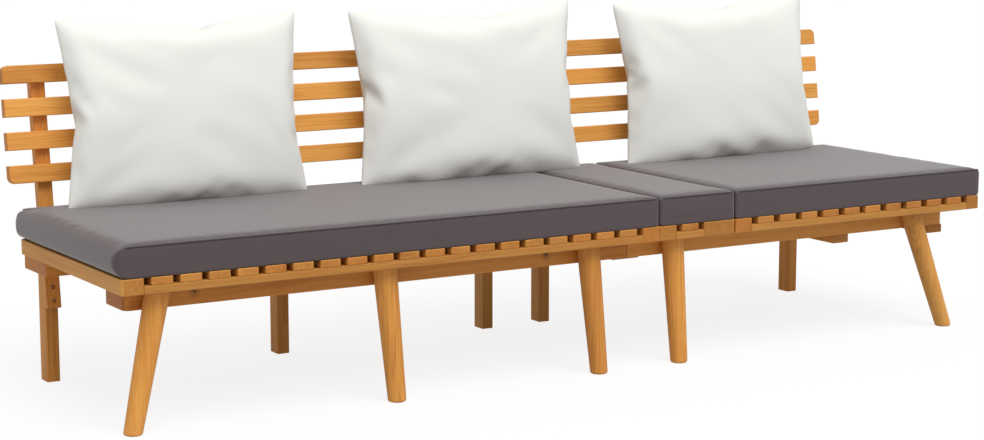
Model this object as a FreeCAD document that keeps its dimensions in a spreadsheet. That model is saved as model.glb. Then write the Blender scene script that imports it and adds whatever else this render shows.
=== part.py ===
"""Garden daybed: a slatted seat in three panels on a beam frame, a leaning slatted back, a head panel
that lifts on a prop, a seat pad in three pieces and three loose pillows.

Millimetres. +X runs along the seat to the head end, +Y to the back, +Z up. The origin lies on the
floor under the middle of the whole piece.
"""
import FreeCAD, Part
import math
import os
import re

DOC = FreeCAD.newDocument("garden_daybed")
SHEET = DOC.addObject("Spreadsheet::Sheet", "Dims")

# Driving sizes: alias, value, what it is
SIZES = [
    ("seat_length", 2100, "length of the whole slatted seat"),
    ("seat_depth", 552, "front to back of the seat panels"),
    ("mid_panel", 195.4, "length of the middle panel"),
    ("head_panel", 702, "head end to the hinge axis"),
    ("rail_width", 43, "width of a panel's side rail"),
    ("end_rail_width", 35, "width of the rail at the head end"),
    ("hinge_board", 80, "width of the board that carries the hinges"),
    ("slat_width", 43, "width of a seat slat"),
    ("slat_thick", 15, "thickness of a seat slat"),
    ("strip_height", 16, "height of the strip under the slat ends"),
    ("strip_depth", 40, "depth of that strip"),
    ("panel_gap", 0.6, "gap between neighbouring panels"),
    ("edge_round", 2, "rounding of the boards' edges"),
    ("end_corner", 13, "rounding of the outer ends of the front beams and the left rail"),
    ("beam_height", 42, "height of the beams"),
    ("front_beam_depth", 100, "depth of the front beams"),
    ("rear_beam_depth", 126, "depth of the rear beams"),
    ("front_beam_set", 70, "front face of the front beams behind the seat's front"),
    ("rear_beam_set", 66, "front face of the rear beams in front of the seat's back"),
    ("beam_inset_left", 30, "left end of the beams from the seat's left end"),
    ("beam_inset_right", 44, "right end of the beams from the seat's right end"),
    ("beam_lap", 35, "joint of left and right beams short of the left panel's end"),
    ("beam_gap", 0.4, "gap in the beams' butt joint"),
    ("leg_height", 233, "floor to the underside of the beams"),
    ("rear_leg_width", 28, "width of a rear leg"),
    ("rear_leg_depth", 39, "depth of a rear leg"),
    ("rear_leg_set", 3, "front face of the rear legs behind the seat's back"),
    ("rear_leg_round", 3, "rounding of the rear legs' edges"),
    ("leg_place_a", 65, "first rear leg and post from the seat's left end"),
    ("leg_place_b", 591, "second rear leg and post from that end"),
    ("leg_place_c", 52, "third rear leg and post left of the beams' joint"),
    ("leg_place_d", 103, "fourth rear leg and post right of that joint"),
    ("leg_place_e", 92, "fifth rear leg and post from the seat's right end"),
    ("front_place_a", 91, "top of the first front leg from the seat's left end"),
    ("front_place_b", 570.5, "top of the second front leg from that end"),
    ("front_place_c", 112.5, "top of the third front leg left of the beams' joint"),
    ("front_place_d", 103.5, "top of the fourth front leg right of that joint"),
    ("front_place_e", 162, "top of the fifth front leg from the seat's right end"),
    ("front_leg_top", 49, "diameter of a front leg at its top"),
    ("front_leg_foot", 37, "diameter of a front leg at the floor"),
    ("front_leg_lean", 15, "how far a front leg's foot stands in front of its top"),
    ("foot_shift_a", -55, "first front leg's foot to the right of its top"),
    ("foot_shift_b", 18.5, "second front leg's foot"),
    ("foot_shift_c", 20.5, "third front leg's foot"),
    ("foot_shift_d", 11.5, "fourth front leg's foot"),
    ("foot_shift_e", 99.5, "fifth front leg's foot"),
    ("foot_back_a", 20, "first front leg's foot behind the line of the others"),
    ("front_leg_round", 5, "rounding of the front legs' feet"),
    ("lean_angle", 7.5, "lean of the backrest in degrees"),
    ("post_set", 6, "front of the posts at seat height, behind the seat's back"),
    ("post_width", 31, "width of a backrest post"),
    ("post_thick", 22, "thickness of a backrest post"),
    ("post_below", 150, "length of a post below the seat's top"),
    ("post_above", 345, "length of a post above the seat's top"),
    ("fit_gap", 0.3, "clearance of a post in its slot, and between parts that lift apart"),
    ("back_overhang", 15, "left end of the backrest past the seat's left end"),
    ("back_inset", 16, "right end of the backrest short of the seat's right end"),
    ("back_lap", 10, "joint of the two backrest sections short of the left panel's end"),
    ("back_gap", 3, "gap in that joint"),
    ("back_slat_height", 37, "height of a backrest slat"),
    ("back_slat_thick", 20, "thickness of a backrest slat"),
    ("back_slat_first", 110, "lowest slat's lower edge above the seat's top, along the post"),
    ("back_slat_pitch", 67.5, "step from slat to slat"),
    ("back_corner", 14, "rounding of the backrest's outer corners"),
    ("bolt_radius", 3, "radius of the bolts in the posts"),
    ("bolt_head", 5, "radius of their heads"),
    ("bolt_head_thick", 4, "thickness of their heads"),
    ("bolt_sink", 8, "depth of the counterbores for the heads"),
    ("bolt_length", 36, "length of the bolts, head included"),
    ("bolt_lower", 134, "lower bolt below the seat's top, along the post"),
    ("bolt_pitch", 28, "step from the lower to the upper bolt"),
    ("bolt_gap", 0.1, "clearance round bolts in their holes"),
    ("stud_radius", 4, "radius of the studs that hold the front legs"),
    ("stud_in_leg", 20, "length of a stud in the leg"),
    ("stud_in_beam", 40, "length of a stud in the beam"),
    ("stud_low", 11, "lower stud above the underside of the beam"),
    ("stud_pitch", 20, "step from the lower to the upper stud"),
    ("plate_length", 66, "length of the plate under a beam joint"),
    ("plate_depth", 46, "depth of that plate"),
    ("plate_thick", 3, "thickness of that plate"),
    ("plate_inset", 6, "plate behind its beam's front face"),
    ("batten_width", 44, "width of a cross batten"),
    ("batten_height", 19, "height of a cross batten"),
    ("batten_front", 72, "front end of the battens behind the seat's front"),
    ("batten_back", 27, "rear end of the battens in front of the seat's back"),
    ("batten_place", 333, "left face of the inner batten from the hinge axis"),
    ("hinge_gap", 4, "gap between hinge board and head panel"),
    ("hinge_rise", 2, "hinge axis above the seat's top"),
    ("hinge_inset", 80, "outer hinges' middle from the panel's front and back"),
    ("leaf_length", 60, "length of a hinge"),
    ("leaf_height", 24, "height of a hinge leaf"),
    ("leaf_thick", 1.6, "thickness of a hinge leaf"),
    ("knuckle_radius", 3, "outer radius of a hinge knuckle"),
    ("pin_radius", 1.4, "radius of a hinge pin"),
    ("running_gap", 0.05, "clearance round pins that turn"),
    ("knuckle_gap", 0.3, "gap between neighbouring knuckles"),
    ("head_lift", 40, "highest angle of the head panel in degrees"),
    ("prop_reach", 325, "prop pivot from the hinge axis, along the head panel"),
    ("prop_drop", 43, "prop pivot below the hinge axis"),
    ("prop_length", 300, "prop pivot to foot bar"),
    ("prop_middle", 50, "middle of the prop behind the seat's middle"),
    ("arm_spread", 78, "middle of a prop arm from the prop's middle"),
    ("arm_thick", 12, "thickness of a prop arm"),
    ("arm_height", 14, "height of a prop arm"),
    ("bracket_length", 36, "length of a prop bracket"),
    ("bracket_thick", 14, "thickness of a prop bracket"),
    ("pivot_radius", 4, "radius of the prop's pivots"),
    ("pivot_end", 2, "how far a pivot stands out of its arm"),
    ("foot_radius", 6, "radius of the prop's foot bar"),
    ("foot_half", 115, "half the length of the foot bar"),
    ("track_spread", 100, "middle of a notched rail from the prop's middle"),
    ("track_thick", 22, "thickness of a notched rail"),
    ("track_gap", 0.6, "clearance of the foot bar above the notched rails"),
    ("track_stop", 4, "end stop of the notched rails above the raised foot bar's axis"),
    ("notch_depth", 5, "depth and half width of a notch"),
    ("cushion_height", 60, "thickness of the seat pad"),
    ("cushion_gap", 2, "seat pad short of its panel at the ends and the back"),
    ("cushion_round", 9, "rounding of the seat pad's edges"),
    ("hinge_clear", 6, "seat pad's ends from the hinge axis"),
    ("pillow_height", 386, "height of a pillow"),
    ("pillow_half", 62, "half the thickness of a pillow"),
    ("pillow_taper", 120, "how far a pillow's faces stand in from its seams"),
    ("pillow_gap", 2, "pillows in front of the backrest slats"),
    ("pillow_place_a", 80, "left pillow from the seat's left end"),
    ("pillow_width_a", 536, "width of the left pillow"),
    ("pillow_width_b", 570, "width of the middle pillow"),
    ("pillow_place_c", 52, "right pillow from the hinge axis"),
    ("pillow_width_c", 558, "width of the right pillow"),
]
LEFT_SLATS = 19
HEAD_SLATS = 10
BACK_SLATS = 4
PLACES = "abcde"
FOOT_BACK = {"a": " + foot_back_a"}
NOTCH_SHARES = (0.5, 0.7, 0.85)

# Places worked out from the driving sizes
PLACED = {
    "seat_left": "-(seat_length - back_overhang) / 2",
    "seat_right": "seat_left + seat_length",
    "seat_front": "-(seat_depth + post_set + post_above * sin(lean_angle * 1deg)"
                  " + post_thick * cos(lean_angle * 1deg)) / 2",
    "seat_back": "seat_front + seat_depth",
    "seat_under": "leg_height + beam_height",
    "seat_top": "seat_under + strip_height + slat_thick",
    "panel_height": "strip_height + slat_thick",
    "hinge_x": "seat_right - head_panel",
    "hinge_z": "seat_top + hinge_rise",
    "mid_left": "hinge_x - hinge_gap / 2 - mid_panel",
    "left_panel": "mid_left - panel_gap - seat_left",
    "head_left": "hinge_x + hinge_gap / 2",
    "head_span": "head_panel - hinge_gap / 2",
    "head_under": "seat_under + fit_gap",
    "left_inner": "left_panel - 2 * rail_width",
    "head_inner": "head_span - rail_width - end_rail_width",
    "mid_inner": "mid_panel - rail_width - hinge_board",
    "beam_left": "seat_left + beam_inset_left",
    "beam_joint": "seat_left + left_panel - beam_lap",
    "beam_right": "seat_right - beam_inset_right",
    "front_beam_y": "seat_front + front_beam_set",
    "rear_beam_y": "seat_back - rear_beam_set",
    "post_y": "seat_back + post_set",
    "batten_left": "hinge_x + batten_place",
    "batten_end": "beam_right - batten_width",
    "leg_x_a": "seat_left + leg_place_a",
    "leg_x_b": "seat_left + leg_place_b",
    "leg_x_c": "beam_joint - leg_place_c",
    "leg_x_d": "beam_joint + leg_place_d",
    "leg_x_e": "seat_right - leg_place_e",
    "front_x_a": "seat_left + front_place_a",
    "front_x_b": "seat_left + front_place_b",
    "front_x_c": "beam_joint - front_place_c",
    "front_x_d": "beam_joint + front_place_d",
    "front_x_e": "seat_right - front_place_e",
    "pivot_x": "hinge_x + prop_reach",
    "pivot_z": "hinge_z - prop_drop",
    "prop_y": "seat_front + seat_depth / 2 + prop_middle",
    "cushion_z": "seat_top + fit_gap",
    "cushion_top": "cushion_z + cushion_height",
    "slats_under": "seat_top - slat_thick",
    "pillow_z": "cushion_top + fit_gap",
    "pillow_y": "post_y + (pillow_z - seat_top) * tan(lean_angle * 1deg)"
                " - (back_slat_thick + pillow_gap + pillow_half) / cos(lean_angle * 1deg)",
    "pillow_x_a": "seat_left + pillow_place_a",
    "pillow_x_b": "(pillow_x_a + pillow_width_a + pillow_x_c - pillow_width_b) / 2",
    "pillow_x_c": "hinge_x + pillow_place_c",
}


def fill_sheet():
    """Writes the driving sizes into the sheet, one row each."""
    for row, (alias, size, meaning) in enumerate(SIZES, start=1):
        SHEET.set("A%d" % row, alias)
        SHEET.set("B%d" % row, str(size))
        SHEET.set("C%d" % row, meaning)
        SHEET.setAlias("B%d" % row, alias)
    DOC.recompute()


ALIASES = {alias for alias, size, meaning in SIZES}


def formula(text):
    """Puts the sheet's name before each size and writes worked-out places in full."""
    def written(match):
        word = match.group(0)
        if word in PLACED:
            return "(" + formula(PLACED[word]) + ")"
        return "Dims." + word if word in ALIASES else word
    return re.sub(r"(?<![\w.])[a-z]\w*", written, str(text))


def placed(name):
    """The value in millimetres of a worked-out place."""
    return float(SHEET.evalExpression(formula(name)))


def bind(thing, **sizes):
    """Binds properties of an object to formulas, with placement words x, y, z and angle."""
    paths = {"x": "Placement.Base.x", "y": "Placement.Base.y", "z": "Placement.Base.z",
             "angle": "Placement.Rotation.Angle"}
    for name, text in sizes.items():
        thing.setExpression(paths.get(name, name), formula(text))
    return thing


def make(kind, **sizes):
    """A document object whose sizes and place are bound to formulas."""
    thing = DOC.addObject(kind, "Shape")
    if "angle" in sizes:
        thing.Placement.Rotation = FreeCAD.Rotation(FreeCAD.Vector(1, 0, 0), 1)
    return bind(thing, **sizes)


def box(length, depth, height, x, y, z):
    """An upright box with its low corner at x, y, z."""
    return make("Part::Box", Length=length, Width=depth, Height=height, x=x, y=y, z=z)


def leaning_box(width, thick, length, x, behind, up):
    """A box that leans with the backrest, placed behind the posts' front and up along the posts."""
    return make("Part::Box", Length=width, Width=thick, Height=length, x=x,
                y="post_y + (%s) * sin(lean_angle * 1deg)"
                  " + (%s) * cos(lean_angle * 1deg)" % (up, behind),
                z="seat_top + (%s) * cos(lean_angle * 1deg)"
                  " - (%s) * sin(lean_angle * 1deg)" % (up, behind),
                angle="-lean_angle * 1deg")


def leaning_rod(radius, length, x, behind, up):
    """A rod square to the posts' front, placed as a leaning box is, running to the back."""
    return make("Part::Cylinder", Radius=radius, Height=length, x=x,
                y="post_y + (%s) * sin(lean_angle * 1deg)"
                  " + (%s) * cos(lean_angle * 1deg)" % (up, behind),
                z="seat_top + (%s) * cos(lean_angle * 1deg)"
                  " - (%s) * sin(lean_angle * 1deg)" % (up, behind),
                angle="-(90 + lean_angle) * 1deg")


def rod(radius, length, x, y, z):
    """A level rod that starts at x, y, z and runs to the back."""
    return make("Part::Cylinder", Radius=radius, Height=length, x=x, y=y, z=z, angle="-90 * 1deg")


def rounded(solid, radius, wanted=None):
    """The solid with its edges rounded, or only those that wanted accepts."""
    DOC.recompute()
    fillet = DOC.addObject("Part::Fillet", "Rounded")
    fillet.Base = solid
    fillet.Edges = [(number, radius, radius) for number, edge in enumerate(solid.Shape.Edges, start=1)
                    if wanted is None or wanted(edge)]
    return fillet


def cut(solid, tools):
    """The solid less all the tools."""
    taken = DOC.addObject("Part::Compound", "Tools")
    taken.Links = tools
    less = DOC.addObject("Part::Cut", "Cut")
    less.Base = solid
    less.Tool = taken
    return less


def joined(first, second):
    """Two solids made one."""
    one = DOC.addObject("Part::Fuse", "Joined")
    one.Base = first
    one.Tool = second
    return one


NODES = []


def node(label, *solids):
    """Names a sub-part, which is one solid or a group of separate ones."""
    whole = solids[0]
    if len(solids) > 1:
        whole = DOC.addObject("Part::Compound", "Group")
        whole.Links = list(solids)
    whole.Label = label
    NODES.append(whole)


def board(length, depth, height, x, y, z):
    """A plank with all its edges rounded."""
    return rounded(box(length, depth, height, x, y, z), SHEET.edge_round)


def round_ended(plank, side):
    """A plank with its edges rounded, and rounder upright edges at its left or right end."""
    up = FreeCAD.Vector(0, 0, 1)
    DOC.recompute()
    uprights = sorted((edge for edge in plank.Shape.Edges if along(edge, up)),
                      key=lambda edge: side * edge.CenterOfMass.x)
    inner_x = uprights[0].CenterOfMass.x
    plank = rounded(plank, SHEET.end_corner, lambda edge: any(edge.isSame(end) for end in uprights[2:]))
    return rounded(plank, SHEET.edge_round,
                   lambda edge: not along(edge, up) or abs(edge.CenterOfMass.x - inner_x) < 1e-6)


def along(edge, axis):
    """True for a straight edge that runs along the axis."""
    start, end = (vertex.Point for vertex in (edge.Vertexes[0], edge.Vertexes[-1]))
    step = end - start
    return step.Length > 0 and abs(abs(step.dot(axis)) - step.Length) < 1e-6 * step.Length


def post_slot(place):
    """The room that a post takes in a beam or a leg."""
    return leaning_box("post_width + 2 * fit_gap", "post_thick + 2 * fit_gap",
                       "post_below + post_above + 2 * fit_gap",
                       "leg_x_%s - post_width / 2 - fit_gap" % place,
                       "-fit_gap", "-post_below - fit_gap")


def post_bolt(place, row, gap="0"):
    """A bolt through a post into its leg, or with a gap the hole for it."""
    x = "leg_x_%s" % place
    up = "-bolt_lower + %d * bolt_pitch" % row
    head_behind = "0 - %s" % gap if gap != "0" else "bolt_sink - bolt_head_thick"
    head_length = "bolt_sink + %s" % gap if gap != "0" else "bolt_head_thick"
    head = leaning_rod("bolt_head + %s" % gap, head_length, x, head_behind, up)
    shank = leaning_rod("bolt_radius + %s" % gap, "bolt_length - bolt_head_thick + %s" % gap,
                        x, "bolt_sink", up)
    return joined(head, shank)


def leg_stud(place, row, gap="0"):
    """A stud through a front leg's seat into the beam, or with a gap the hole for it."""
    return rod("stud_radius + %s" % gap, "stud_in_leg + stud_in_beam + 2 * %s" % gap,
               "front_x_%s" % place, "front_beam_y - stud_in_leg - %s" % gap,
               "leg_height + stud_low + %d * stud_pitch" % row)


def build_beams():
    """Front and rear beams, each in two lengths, and the plates under their joints."""
    spans = {"left": ("beam_left", "beam_joint - beam_left - beam_gap", "abc"),
             "right": ("beam_joint", "beam_right - beam_joint", "de")}
    for side, (start, span, places) in spans.items():
        front = round_ended(box(span, "front_beam_depth", "beam_height", start, "front_beam_y", "leg_height"),
                            -1 if side == "left" else 1)
        studs = [leg_stud(place, row, "bolt_gap") for place in places for row in (0, 1)]
        node("front_beam_" + side, cut(front, studs))
        rear = board(span, "rear_beam_depth", "beam_height", start, "rear_beam_y", "leg_height")
        node("rear_beam_" + side, cut(rear, [post_slot(place) for place in places]))
    plates = [box("plate_length", "plate_depth", "plate_thick", "beam_joint - plate_length / 2",
                  "%s + plate_inset" % front, "leg_height - plate_thick")
              for front in ("front_beam_y", "rear_beam_y")]
    node("beam_joint_plates", *plates)


def build_battens():
    """Two cross battens under the beams and the notched rails that they carry."""
    for name, x in (("inner", "batten_left"), ("end", "batten_end")):
        node("cross_batten_" + name,
             board("batten_width", "seat_depth - batten_back - batten_front", "batten_height", x,
                   "seat_front + batten_front", "leg_height - batten_height"))
    node("notched_rails", notched_rail(-1), notched_rail(1))


def prop_ratio():
    """Turns of the prop for one of the head panel, so that the foot bar starts off level."""
    return 1 + SHEET.prop_reach / SHEET.prop_length


def foot_path(share):
    """Foot bar's axis from the hinge axis, along X and Z, at a share of the full lift."""
    lift = math.radians(SHEET.head_lift) * share
    prop = (prop_ratio() - 1) * lift
    along_x = (SHEET.prop_reach * math.cos(lift) + SHEET.prop_drop * math.sin(lift)
               + SHEET.prop_length * math.cos(prop))
    along_z = (SHEET.prop_reach * math.sin(lift) - SHEET.prop_drop * math.cos(lift)
               - SHEET.prop_length * math.sin(prop))
    return along_x, along_z


def notched_rail(side):
    """A rail under the foot bar's path, with notches and an end stop, in front or behind."""
    hinge_x, hinge_z, left, right, floor = (
        placed(name) for name in ("hinge_x", "hinge_z", "batten_left", "beam_right", "leg_height"))
    low = SHEET.foot_radius + SHEET.track_gap
    notch = SHEET.notch_depth
    outline = [(left, floor), (right, floor)]
    x, z = foot_path(0)
    outline += [(right, hinge_z + z - low), (hinge_x + x, hinge_z + z - low)]
    for share in NOTCH_SHARES:
        x, z = foot_path(share)
        x, z = hinge_x + x, hinge_z + z - low
        outline += [(x + notch, z), (x, z - notch), (x - notch, z)]
    x, z = foot_path(1)
    x, z = hinge_x + x, hinge_z + z
    stop = x - low
    outline += [(x, z - low), (stop, z - low), (stop, z + SHEET.track_stop), (left, z + SHEET.track_stop)]
    y = placed("prop_y") + side * SHEET.track_spread - SHEET.track_thick / 2
    points = [FreeCAD.Vector(across, y, up) for across, up in outline]
    face = Part.Face(Part.makePolygon(points + points[:1]))
    rail = DOC.addObject("Part::Feature", "Rail")
    rail.Shape = face.extrude(FreeCAD.Vector(0, SHEET.track_thick, 0))
    return rail


def build_legs():
    """Round tapered front legs on the beams' front, upright rear legs under the beams, and their fixings."""
    up = FreeCAD.Vector(0, 0, 1)
    for number, place in enumerate(PLACES, start=1):
        top_x = "front_x_%s" % place
        foot_x = "%s + foot_shift_%s" % (top_x, place)
        top_y = "front_beam_y - front_leg_top * 3 / 8"
        foot_y = "%s - front_leg_lean%s" % (top_y, FOOT_BACK.get(place, ""))
        leg = DOC.addObject("Part::Loft", "Leg")
        leg.Sections = [make("Part::Circle", Radius="front_leg_foot / 2", x=foot_x, y=foot_y, z="0"),
                        make("Part::Circle", Radius="front_leg_top / 2", x=top_x, y=top_y, z="seat_under")]
        leg.Solid = leg.Ruled = True
        leg = rounded(leg, SHEET.front_leg_round, lambda edge: edge.CenterOfMass.z < SHEET.edge_round)
        trims = [box("seat_length", "seat_depth", "seat_under", "seat_left", "front_beam_y", "leg_height")]
        studs = [leg_stud(place, row, "bolt_gap") for row in (0, 1)]
        node("front_leg_%d" % number, cut(leg, trims + studs))

        rear = box("rear_leg_width", "rear_leg_depth", "leg_height",
                   "leg_x_%s - rear_leg_width / 2" % place, "seat_back + rear_leg_set", "0")
        rear = rounded(rear, SHEET.rear_leg_round, lambda edge: along(edge, up))
        bolts = [post_bolt(place, row, "bolt_gap") for row in (0, 1)]
        node("rear_leg_%d" % number, cut(rear, [post_slot(place)] + bolts))
    node("leg_studs", *[leg_stud(place, row) for place in PLACES for row in (0, 1)])


def build_back():
    """Leaning posts with their bolts, and two sections of four slats on the posts' front."""
    for number, place in enumerate(PLACES, start=1):
        post = leaning_box("post_width", "post_thick", "post_below + post_above",
                           "leg_x_%s - post_width / 2" % place, "0", "-post_below")
        bolts = [post_bolt(place, row, "bolt_gap") for row in (0, 1)]
        node("backrest_post_%d" % number, cut(rounded(post, SHEET.edge_round), bolts))
    node("post_bolts", *[post_bolt(place, row) for place in PLACES for row in (0, 1)])
    split = "left_panel - back_lap"
    sections = {"left": ("seat_left - back_overhang", "back_overhang + %s - back_gap / 2" % split),
                "right": ("seat_left + %s + back_gap / 2" % split,
                          "seat_length - back_inset - (%s) - back_gap / 2" % split)}
    for side, (start, span) in sections.items():
        for row in range(BACK_SLATS):
            slat = leaning_box(span, "back_slat_thick", "back_slat_height", start, "-back_slat_thick",
                               "back_slat_first + %d * back_slat_pitch" % row)
            node("%s_back_slat_%d" % (side, row + 1), back_slat(slat, side, row))


def back_slat(slat, side, row):
    """A slat with rounded edges, and a rounder outer corner on the top and bottom rows."""
    lean = math.radians(SHEET.lean_angle)
    through = FreeCAD.Vector(0, math.cos(lean), -math.sin(lean))
    DOC.recompute()
    if row in (0, BACK_SLATS - 1):
        ends = sorted((edge for edge in slat.Shape.Edges if along(edge, through)),
                      key=lambda edge: (edge.CenterOfMass.x, edge.CenterOfMass.z))
        outer = ends[:2] if side == "left" else ends[2:]
        corner = outer[0] if row == 0 else outer[1]
        slat = rounded(slat, SHEET.back_corner, lambda edge: edge.isSame(corner))
    return rounded(slat, SHEET.edge_round, lambda edge: not along(edge, through))


def slats(count, start, inner, z):
    """Evenly spaced seat slats between two rails."""
    gap = "(%s - %d * slat_width) / %d" % (inner, count, count + 1)
    return [board("slat_width", "seat_depth", "slat_thick",
                  "%s + %s + %d * (slat_width + %s)" % (start, gap, number, gap), "seat_front", z)
            for number in range(count)]


def rail(width, x, z):
    """A panel's side rail, front to back."""
    return board(width, "seat_depth", "panel_height", x, "seat_front", z)


def strips(start, inner, z):
    """The front and rear strips that carry the slat ends."""
    return [board(inner, "strip_depth", "strip_height", start, y, z)
            for y in ("seat_front", "seat_back - strip_depth")]


def build_panels():
    """Left and middle seat panels and the head panel that lifts."""
    outer = box("rail_width", "seat_depth", "panel_height", "seat_left", "seat_front", "seat_under")
    node("left_panel_rail_left", round_ended(outer, -1))
    node("left_panel_rail_right", rail("rail_width", "seat_left + left_panel - rail_width", "seat_under"))
    front, rear = strips("seat_left + rail_width", "left_inner", "seat_under")
    node("left_panel_front_strip", front)
    node("left_panel_rear_strip", rear)
    node("left_panel_slats", *slats(LEFT_SLATS, "seat_left + rail_width", "left_inner", "slats_under"))

    node("mid_panel_rail", rail("rail_width", "mid_left", "seat_under"))
    node("mid_hinge_board", rail("hinge_board", "mid_left + mid_panel - hinge_board", "seat_under"))
    node("mid_panel_strips", *strips("mid_left + rail_width", "mid_inner", "seat_under"))
    node("mid_panel_slat", *slats(1, "mid_left + rail_width", "mid_inner", "slats_under"))

    lifted = "head_under"
    height = "panel_height - fit_gap"
    for name, width, x in (("hinge", "rail_width", "head_left"),
                           ("end", "end_rail_width", "head_left + head_span - end_rail_width")):
        node("head_rail_" + name, board(width, "seat_depth", height, x, "seat_front", lifted))
    for name, y in (("front", "seat_front"), ("rear", "seat_back - strip_depth")):
        node("head_%s_strip" % name, board("head_inner", "strip_depth", "strip_height - fit_gap",
                                           "head_left + rail_width", y, lifted))
    node("head_slats", *slats(HEAD_SLATS, "head_left + rail_width", "head_inner", "slats_under"))


def knuckle(y, length):
    """A hinge knuckle with its bore, from y over a length."""
    barrel = rod("knuckle_radius", length, "hinge_x", y, "hinge_z")
    bore = rod("pin_radius + running_gap", length, "hinge_x", y, "hinge_z")
    return cut(barrel, [bore])


def hinge_leaf(middle, side, thirds):
    """One hinge leaf on a board's edge, with knuckles on some thirds of its length."""
    x = "hinge_x - hinge_gap / 2" if side < 0 else "hinge_x + hinge_gap / 2 - leaf_thick"
    top = "hinge_z - knuckle_radius - knuckle_gap"
    start = "%s - leaf_length / 2" % middle
    leaf = box("leaf_thick", "leaf_length", "leaf_height", x, start, "%s - leaf_height" % top)
    bore = rod("pin_radius + running_gap", "leaf_length", "hinge_x", start, "hinge_z")
    for third in thirds:
        y = "%s + %d * leaf_length / 3 + knuckle_gap / 2" % (start, third)
        length = "leaf_length / 3 - knuckle_gap"
        tab = box("leaf_thick", length, "knuckle_radius + knuckle_gap", x, y, top)
        leaf = joined(joined(leaf, tab), knuckle(y, length))
    return cut(leaf, [bore])


def build_hinges():
    """Three butt hinges between the hinge board and the head panel."""
    middles = ["seat_front + " + place
               for place in ("hinge_inset", "seat_depth / 2", "seat_depth - hinge_inset")]
    node("hinge_leaves_fixed", *[hinge_leaf(middle, -1, (0, 2)) for middle in middles])
    node("hinge_leaves_moving", *[hinge_leaf(middle, 1, (1,)) for middle in middles])
    node("hinge_pins", *[rod("pin_radius", "leaf_length", "hinge_x", "%s - leaf_length / 2" % middle,
                             "hinge_z") for middle in middles])


def build_prop():
    """Brackets under a head slat, two swinging arms and the foot bar between them."""
    across = FreeCAD.Vector(0, 1, 0)
    arms = []
    brackets = []
    for side in (-1, 1):
        arm_y = "prop_y + %d * arm_spread" % side
        arm = box("prop_length + arm_height", "arm_thick", "arm_height", "pivot_x - arm_height / 2",
                  "%s - arm_thick / 2" % arm_y, "pivot_z - arm_height / 2")
        arm = rounded(arm, SHEET.arm_height / 2 - SHEET.bolt_gap, lambda edge: along(edge, across))
        holes = [rod(radius, "arm_thick", x, "%s - arm_thick / 2" % arm_y, "pivot_z") for radius, x in
                 (("pivot_radius + running_gap", "pivot_x"),
                  ("foot_radius + running_gap", "pivot_x + prop_length"))]
        arms.append(cut(arm, holes))
        bracket_y = "%s - %d * (arm_thick / 2 + fit_gap + bracket_thick / 2)" % (arm_y, side)
        block = box("bracket_length", "bracket_thick", "slats_under - pivot_z + arm_height / 2",
                    "pivot_x - bracket_length / 2", "%s - bracket_thick / 2" % bracket_y,
                    "pivot_z - arm_height / 2")
        reach = "bracket_thick + fit_gap + arm_thick + pivot_end"
        start = "%s - bracket_thick / 2" % bracket_y
        if side < 0:
            start = "%s + bracket_thick / 2 - (%s)" % (bracket_y, reach)
        brackets.append(joined(block, rod("pivot_radius", reach, "pivot_x", start, "pivot_z")))
    node("prop_arms", *arms)
    node("prop_brackets", *brackets)
    node("prop_foot_bar", rod("foot_radius", "2 * foot_half", "pivot_x + prop_length",
                              "prop_y - foot_half", "pivot_z"))


def build_cushions():
    """The seat pad in three pieces, the last with a sloped end that folds over the hinge."""
    depth = "seat_depth - cushion_gap"
    pads = {"left": ("seat_left + cushion_gap", "left_panel - 2 * cushion_gap"),
            "mid": ("mid_left + cushion_gap", "hinge_x - hinge_clear - mid_left - cushion_gap")}
    for name, (x, length) in pads.items():
        pad = box(length, depth, "cushion_height", x, "seat_front", "cushion_z")
        node("cushion_" + name, rounded(pad, SHEET.cushion_round))
    slope = "cushion_height * tan(head_lift * 1deg)"
    right = "seat_right"
    head = make("Part::Wedge", Ymin="0", Ymax="cushion_height",
                Xmin="hinge_x + hinge_clear", Xmax=right,
                X2min="hinge_x + hinge_clear + %s" % slope, X2max=right,
                Zmin="-(%s)" % depth, Zmax="0", Z2min="-(%s)" % depth, Z2max="0",
                y="seat_front", z="cushion_z", angle="90 * 1deg")
    node("cushion_head", head)


def build_pillows():
    """Three pillows that lean on the backrest, each two tapered halves back to back."""
    for name, place in (("left", "a"), ("mid", "b"), ("right", "c")):
        width = "pillow_width_%s" % place
        spot = {"x": "pillow_x_%s" % place, "y": "pillow_y", "z": "pillow_z",
                "angle": "-lean_angle * 1deg"}
        seam = {"min": ("0", "0"), "max": (width, "pillow_height")}
        face = {"min": ("pillow_taper", "pillow_taper"),
                "max": ("%s - pillow_taper" % width, "pillow_height - pillow_taper")}
        halves = []
        for near, far, start, end in ((seam, face, "0", "pillow_half"), (face, seam, "-pillow_half", "0")):
            halves.append(make("Part::Wedge", Ymin=start, Ymax=end,
                               Xmin=near["min"][0], Zmin=near["min"][1],
                               Xmax=near["max"][0], Zmax=near["max"][1],
                               X2min=far["min"][0], Z2min=far["min"][1],
                               X2max=far["max"][0], Z2max=far["max"][1], **spot))
        node("pillow_" + name, joined(*halves))


def check_and_write():
    """Stops on a failed object or an unsound shape, and otherwise writes every sub-part."""
    DOC.recompute()
    for thing in DOC.Objects:
        if "Invalid" in thing.State or "Error" in thing.State:
            raise RuntimeError("%s failed: %s" % (thing.Label, thing.State))
    for sub_part in NODES:
        if sub_part.Shape.isNull() or not sub_part.Shape.isValid() or not sub_part.Shape.Solids:
            raise RuntimeError("%s has no sound shape" % sub_part.Label)
    os.makedirs("parts", exist_ok=True)
    for sub_part in NODES:
        sub_part.Shape.exportStep(os.path.join("parts", sub_part.Label + ".step"))
    print("%d sub-parts, prop turns %.5f for one of the head panel" % (len(NODES), prop_ratio()))


fill_sheet()
build_beams()
build_battens()
build_legs()
build_back()
build_panels()
build_hinges()
build_prop()
build_cushions()
build_pillows()
check_and_write()
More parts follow.
